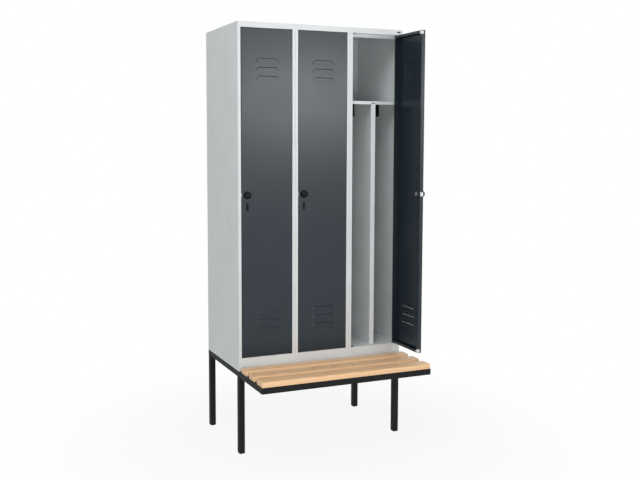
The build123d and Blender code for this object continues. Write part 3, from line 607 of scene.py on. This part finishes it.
class LOCKER_OT_lay_welds(bpy.types.Operator):
    """Lay the weld beads between the legs and the rails above them"""

    bl_idname = "locker.lay_welds"
    bl_label = "Weld beads"

    def execute(self, context):
        coat = named_material("black_grey_powder_coat")
        size = context.scene.locker_sizes.weld_size
        proud = 0.2 * MM
        low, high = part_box("legs")
        # The legs' front and rear faces and the way out of each; the rearmost has no bead
        faces = ((low.y, -1), (low.y + TUBE, 1), (high.y - TUBE, -1))
        welds = bmesh.new()
        for x in (low.x + TUBE / 2, high.x - TUBE / 2):
            for y, outward in faces:
                bead = self.lay_bead(welds, size, TUBE - 2 * size)
                bmesh.ops.translate(
                    welds, vec=(x, y + outward * proud, high.z - proud), verts=bead)
        add_piece("leg_welds", welds, coat, "locker")
        return {"FINISHED"}

    def lay_bead(self, welds, radius, length):
        """A rippled bead along X at the origin, thinner at its ends."""
        ripples, ripple_height = 6, 0.1
        end_width = 0.55
        rod = bmesh.ops.create_cone(welds, cap_ends=True, segments=10, radius1=radius,
                                    radius2=radius, depth=length)["verts"]
        rungs = {e for v in rod for e in v.link_edges
                 if abs(e.verts[0].co.z - e.verts[1].co.z) > length / 2}
        bmesh.ops.subdivide_edges(welds, edges=list(rungs), cuts=4 * ripples - 1)
        # The beads laid before are all further from the origin
        bead = [v for v in welds.verts if v.co.length < length]
        for v in bead:
            ripple = 1 + ripple_height * math.cos(v.co.z / length * math.tau * ripples)
            end = min(1, (length / 2 - abs(v.co.z)) / radius + end_width)
            v.co.x *= ripple * end
            v.co.y *= ripple * end
        along = Matrix.Rotation(math.radians(90), 3, "Y")
        bmesh.ops.rotate(welds, matrix=along, verts=bead)
        return bead


class LOCKER_OT_build_studio(bpy.types.Operator):
    """Set up the floor, the lamps, the room light and the camera"""

    bl_idname = "locker.build_studio"
    bl_label = "Studio"

    def execute(self, context):
        scene = context.scene
        scene.view_settings.view_transform = "Standard"
        self.light_room(scene)
        self.lay_floor(scene)
        for name, softbox in SOFTBOXES.items():
            self.add_softbox(scene, name, *softbox)
        self.place_camera(scene)
        return {"FINISHED"}

    def light_room(self, scene):
        """Even light from all round, seen as plain white."""
        world = bpy.data.worlds.new("studio_room")
        scene.world = world
        world.use_nodes = True
        tree = world.node_tree
        tree.nodes.clear()
        strength = add_node(tree, "ShaderNodeMapRange",
                            {"Value": self.seen_by_eye(tree),
                             "To Min": scene.locker_studio.room_light, "To Max": 1.0})
        room = add_node(tree, "ShaderNodeBackground",
                        {"Color": WHITE, "Strength": strength.outputs["Result"]})
        add_node(tree, "ShaderNodeOutputWorld", {"Surface": room.outputs[0]})

    def lay_floor(self, scene):
        """A wide level floor that keeps the locker's shadow."""
        mesh = bmesh.new()
        bmesh.ops.create_grid(mesh, x_segments=1, y_segments=1, size=FLOOR_REACH)
        data = bpy.data.meshes.new("studio_floor")
        mesh.to_mesh(data)
        mesh.free()
        data.materials.append(self.studio_paper())
        floor = bpy.data.objects.new("studio_floor", data)
        scene.collection.objects.link(floor)

    def studio_paper(self):
        """Matt white studio paper, which fades to plain white away from the object."""
        fade_start, fade_end = 0.5, 1.8
        white_by_object = 0.88
        material, tree, place = new_material("white_studio_paper")
        distance = add_node(tree, "ShaderNodeVectorMath", {0: place}, operation="LENGTH")
        fade = add_node(tree, "ShaderNodeMapRange",
                        {"Value": distance.outputs["Value"], "From Min": fade_start,
                         "From Max": fade_end, "To Min": white_by_object, "To Max": 1.0},
                        interpolation_type="SMOOTHSTEP")
        share = add_node(tree, "ShaderNodeMath",
                         {0: fade.outputs["Result"], 1: self.seen_by_eye(tree)},
                         operation="MULTIPLY")
        paper = add_node(tree, "ShaderNodeBsdfDiffuse", {"Color": linear("#F0F0F0")})
        white = add_node(tree, "ShaderNodeEmission", {"Color": WHITE, "Strength": 1.0})
        mixed = add_node(tree, "ShaderNodeMixShader",
                         {0: share.outputs[0], 1: paper.outputs[0], 2: white.outputs[0]})
        show_surface(tree, mixed)
        return material

    def seen_by_eye(self, tree):
        """1 for camera, glossy and transmission rays, and 0 for the rays that light the object."""
        rays = add_node(tree, "ShaderNodeLightPath")
        camera_or_glossy = add_node(
            tree, "ShaderNodeMath",
            {0: rays.outputs["Is Camera Ray"], 1: rays.outputs["Is Glossy Ray"]},
            operation="MAXIMUM")
        seen = add_node(
            tree, "ShaderNodeMath",
            {0: camera_or_glossy.outputs[0], 1: rays.outputs["Is Transmission Ray"]},
            operation="MAXIMUM")
        return seen.outputs[0]

    def add_softbox(self, scene, name, place, target, size, power):
        """A rectangular softbox that faces a point."""
        lamp = bpy.data.lights.new(name, "AREA")
        lamp.shape = "RECTANGLE"
        lamp.size, lamp.size_y = size
        lamp.energy = getattr(scene.locker_studio, power)
        box = bpy.data.objects.new(name, lamp)
        scene.collection.objects.link(box)
        box.location = place
        facing = Vector(target) - Vector(place)
        box.rotation_euler = facing.to_track_quat("-Z", "Y").to_euler()

    def place_camera(self, scene):
        """The photograph's view of the locker."""
        studio = scene.locker_studio
        camera = bpy.data.cameras.new("photo_camera")
        camera.sensor_width = SENSOR_WIDTH
        camera.lens = studio.lens
        camera.shift_x, camera.shift_y = studio.shift
        camera.clip_end = CAMERA_REACH
        eye = bpy.data.objects.new("photo_camera", camera)
        scene.collection.objects.link(eye)
        eye.location = studio.place
        eye.rotation_euler = (math.radians(90) - studio.tilt, 0, -studio.yaw)
        scene.camera = eye


# The plastics and the base's coat come before the pieces that use them
OPERATORS = (
    LOCKER_OT_build_studio,
    LOCKER_OT_coat_body,
    LOCKER_OT_coat_doors,
    LOCKER_OT_coat_base,
    LOCKER_OT_plate_hardware,
    LOCKER_OT_mould_plastics,
    LOCKER_OT_make_slats,
    LOCKER_OT_make_knobs,
    LOCKER_OT_lay_welds,
)

GROUPS = (
    (LockerFinishes, "locker_finishes"),
    (LockerSizes, "locker_sizes"),
    (LockerStudio, "locker_studio"),
)


class LOCKER_PT_panel(bpy.types.Panel):
    """Sizes, colours and steps of the locker"""

    bl_idname = "LOCKER_PT_panel"
    bl_label = "Clothes locker"
    bl_space_type = "VIEW_3D"
    bl_region_type = "UI"
    bl_category = "Locker"

    def draw(self, context):
        for _, name in GROUPS:
            group = getattr(context.scene, name)
            box = self.layout.box()
            for value in group.__annotations__:
                box.prop(group, value)
        for operator in OPERATORS:
            self.layout.operator(operator.bl_idname)


def register():
    for group, name in GROUPS:
        bpy.utils.register_class(group)
        setattr(bpy.types.Scene, name, bpy.props.PointerProperty(type=group))
    for operator in OPERATORS:
        bpy.utils.register_class(operator)
    bpy.utils.register_class(LOCKER_PT_panel)


def unregister():
    bpy.utils.unregister_class(LOCKER_PT_panel)
    for operator in reversed(OPERATORS):
        bpy.utils.unregister_class(operator)
    for group, name in reversed(GROUPS):
        delattr(bpy.types.Scene, name)
        bpy.utils.unregister_class(group)


def main():
    """Make the locker's looks and its studio."""
    register()
    for operator in OPERATORS:
        family, name = operator.bl_idname.split(".")
        getattr(getattr(bpy.ops, family), name)()


if __name__ == "__main__":
    main()
